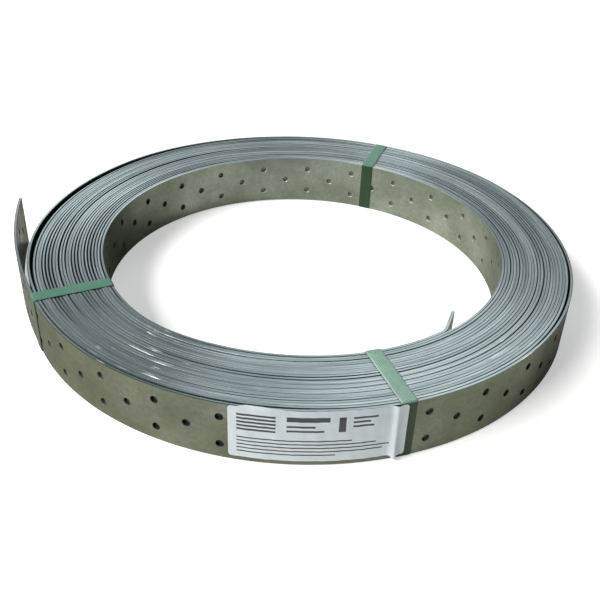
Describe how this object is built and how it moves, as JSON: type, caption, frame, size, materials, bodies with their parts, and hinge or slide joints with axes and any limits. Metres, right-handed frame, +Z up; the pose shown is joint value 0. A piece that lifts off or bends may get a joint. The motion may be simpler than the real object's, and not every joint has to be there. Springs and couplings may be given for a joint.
{
  "type": "coil of wind bracing strap",
  "caption": "Coil of perforated galvanised steel strap for wind bracing, wound flat, tied with three green plastic bands, with a paper label and both strap ends sprung free.",
  "frame": {"origin": "centre of the bore in the plane of the coil's lower end", "axes": "+Z up along the bore, out of the coil's upper end; -Y towards the label, -X towards the free outer end"},
  "size_m": [0.4207, 0.3935, 0.0412],
  "materials": {
    "galvanised_steel": "zinc coated, dull olive grey faces with a fine spangle, brighter bluish cut edges",
    "green_band": "green embossed strapping, satin",
    "label_paper": "white coated paper with plain printed bars"
  },
  "bodies": {
    "root": {"strap_coil": "galvanised_steel", "tie_band_left": "green_band", "tie_band_front": "green_band", "tie_band_back": "green_band", "label": "label_paper"}
  },
  "joints": []
}
